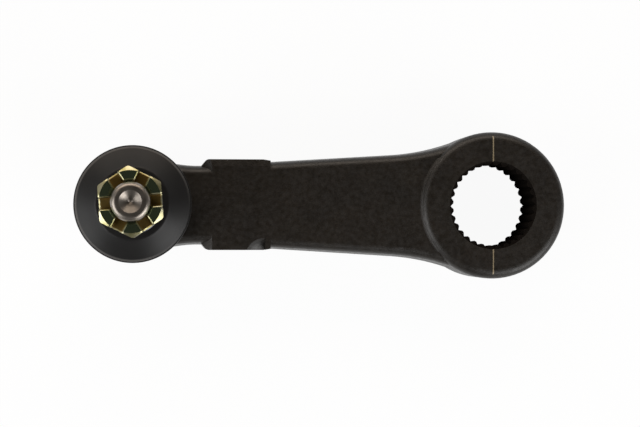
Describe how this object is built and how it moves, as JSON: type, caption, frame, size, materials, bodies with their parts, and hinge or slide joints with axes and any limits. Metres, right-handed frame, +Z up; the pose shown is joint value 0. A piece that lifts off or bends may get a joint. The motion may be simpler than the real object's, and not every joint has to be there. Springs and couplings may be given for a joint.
{
  "type": "pitman arm",
  "caption": "Forged steering lever with a serrated taper bore at one end and a sealed ball joint with a rubber boot, tapered stud and castle nut at the other.",
  "frame": {"origin": "on the axis of the serrated bore, in the bottom face of the boss, where the sector shaft enters", "axes": "+Z up along the bore and the stud, X along the arm with the ball joint towards -X, Y across the arm"},
  "size_m": [0.1857, 0.0558, 0.0805],
  "materials": {
    "forged_steel": "fine-grained forged skin under thin black paint, half matt",
    "spring_steel": "drawn and hardened, plain",
    "bearing_polymer": "moulded, satin",
    "stud_steel": "turned and ground, lightly oiled",
    "yellow_zinc": "zinc plate with yellow passivate",
    "boot_rubber": "moulded, satin"
  },
  "bodies": {
    "arm": {"arm": "forged_steel", "end_cover": "forged_steel", "preload_spring": "spring_steel", "lower_boot_ring": "spring_steel"},
    "bearing": {"lower_seat": "bearing_polymer", "upper_seat": "bearing_polymer", "dust_boot": "boot_rubber"},
    "collar": {"upper_boot_ring": "spring_steel"},
    "stud": {"ball_stud": "stud_steel", "castle_nut": "yellow_zinc"}
  },
  "joints": [
    {"name": "stud_heading", "type": "hinge", "parent": "arm", "child": "bearing", "pos_m": [-0.136, 0, 0.0225], "axis": [0, 0, 1], "continuous": true},
    {"name": "stud_tilt", "type": "hinge", "parent": "bearing", "child": "collar", "pos_m": [-0.136, 0, 0.0225], "axis": [0, 1, 0], "range_deg": [-20, 20], "deforming": ["dust_boot"]},
    {"name": "stud_spin", "type": "hinge", "parent": "collar", "child": "stud", "pos_m": [-0.136, 0, 0.0225], "axis": [0, 0, 1], "continuous": true}
  ]
}
